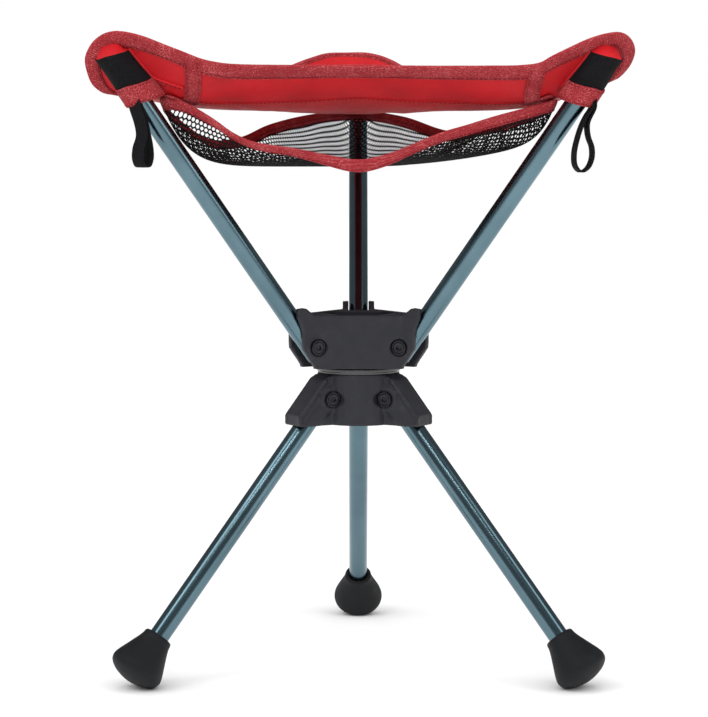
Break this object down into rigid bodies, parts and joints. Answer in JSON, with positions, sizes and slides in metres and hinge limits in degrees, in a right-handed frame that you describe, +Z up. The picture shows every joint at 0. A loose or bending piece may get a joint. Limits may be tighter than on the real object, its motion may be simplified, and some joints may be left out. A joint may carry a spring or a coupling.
{
  "type": "folding swivel camp stool",
  "caption": "Folding three-legged swivel stool: splayed tube legs and arms on two hubs, a fabric sling seat and a mesh basket under it.",
  "frame": {"origin": "on the floor, under the middle of the whole bounding box; the swivel axis is 49.2 mm in front of it, at y = -0.0492", "axes": "+Z up; -Y towards the open front between the two front legs; +Y towards the rear leg; +X to the right seen from the front"},
  "size_m": [0.3798, 0.3175, 0.4604],
  "materials": {
    "frame": "satin blue-grey anodised",
    "plastic": "matte, fine grain",
    "foot_rubber": "matte",
    "steel": "zinc plated",
    "black_steel": "black, satin",
    "nylon": "smooth",
    "red_fabric": "coated weave, slight sheen",
    "binding": "coarse woven tape",
    "black_fabric": "woven webbing",
    "netting": "open netting"
  },
  "bodies": {
    "lower_hub": {"lower_hub": "plastic", "swivel_spindle": "steel", "swivel_plate": "nylon", "thrust_washer": "steel", "lock_nut": "steel", "leg_screw_front_left": "black_steel", "leg_barrel_nut_front_left": "black_steel", "leg_screw_front_right": "black_steel", "leg_barrel_nut_front_right": "black_steel", "leg_screw_rear": "black_steel", "leg_barrel_nut_rear": "black_steel"},
    "upper_hub": {"upper_hub": "plastic", "swivel_bush": "nylon", "arm_screw_front_left": "black_steel", "arm_barrel_nut_front_left": "black_steel", "arm_screw_front_right": "black_steel", "arm_barrel_nut_front_right": "black_steel", "arm_screw_rear": "black_steel", "arm_barrel_nut_rear": "black_steel"},
    "seat": {"seat_sling": "red_fabric", "mesh_basket": "netting", "corner_pocket_front_left": "black_fabric", "mouth_binding_front_left": "binding", "basket_tab_front_left": "binding", "pull_loop_front_left": "black_fabric", "corner_pocket_front_right": "black_fabric", "mouth_binding_front_right": "binding", "basket_tab_front_right": "binding", "pull_loop_front_right": "black_fabric", "corner_pocket_rear": "black_fabric", "mouth_binding_rear": "binding", "basket_tab_rear": "binding", "pull_loop_rear": "black_fabric"},
    "leg_front_left": {"leg_tube_front_left": "frame", "leg_plug_front_left": "nylon", "foot_front_left": "foot_rubber"},
    "arm_front_left": {"arm_tube_front_left": "frame", "arm_plug_front_left": "nylon", "arm_cap_front_left": "plastic"},
    "leg_front_right": {"leg_tube_front_right": "frame", "leg_plug_front_right": "nylon", "foot_front_right": "foot_rubber"},
    "arm_front_right": {"arm_tube_front_right": "frame", "arm_plug_front_right": "nylon", "arm_cap_front_right": "plastic"},
    "leg_rear": {"leg_tube_rear": "frame", "leg_plug_rear": "nylon", "foot_rear": "foot_rubber"},
    "arm_rear": {"arm_tube_rear": "frame", "arm_plug_rear": "nylon", "arm_cap_rear": "plastic"}
  },
  "joints": [
    {"name": "swivel", "type": "hinge", "parent": "lower_hub", "child": "upper_hub", "pos_m": [0, -0.0492, 0.2214], "axis": [0, 0, 1], "continuous": true},
    {"name": "leg_fold_front_left", "type": "hinge", "parent": "lower_hub", "child": "leg_front_left", "pos_m": [-0.02546, -0.0639, 0.1989], "axis": [0.5, -0.866, 0], "range_deg": [0, 39.5]},
    {"name": "leg_fold_front_right", "type": "hinge", "parent": "lower_hub", "child": "leg_front_right", "pos_m": [0.02546, -0.0639, 0.1989], "axis": [0.5, 0.866, 0], "range_deg": [0, 39.5]},
    {"name": "leg_fold_rear", "type": "hinge", "parent": "lower_hub", "child": "leg_rear", "pos_m": [0, -0.0198, 0.1989], "axis": [-1, 0, 0], "range_deg": [0, 39.5]},
    {"name": "seat_lift", "type": "slide", "parent": "upper_hub", "child": "seat", "axis": [0, 0, 1], "range_m": [0, 0.27]},
    {"name": "arm_fold_front_left", "type": "hinge", "parent": "upper_hub", "child": "arm_front_left", "pos_m": [-0.03594, -0.06995, 0.2373], "axis": [-0.5, 0.866, 0], "range_deg": [0, 37.1]},
    {"name": "arm_fold_front_right", "type": "hinge", "parent": "upper_hub", "child": "arm_front_right", "pos_m": [0.03594, -0.06995, 0.2373], "axis": [-0.5, -0.866, 0], "range_deg": [0, 37.1]},
    {"name": "arm_fold_rear", "type": "hinge", "parent": "upper_hub", "child": "arm_rear", "pos_m": [0, -0.0077, 0.2373], "axis": [1, 0, 0], "range_deg": [0, 37.1]}
  ],
  "couplings": [
    {"joint": "arm_fold_front_left", "follows": "seat_lift", "rad_per_m": 2.3937},
    {"joint": "arm_fold_front_right", "follows": "seat_lift", "rad_per_m": 2.3937},
    {"joint": "arm_fold_rear", "follows": "seat_lift", "rad_per_m": 2.3937}
  ]
}
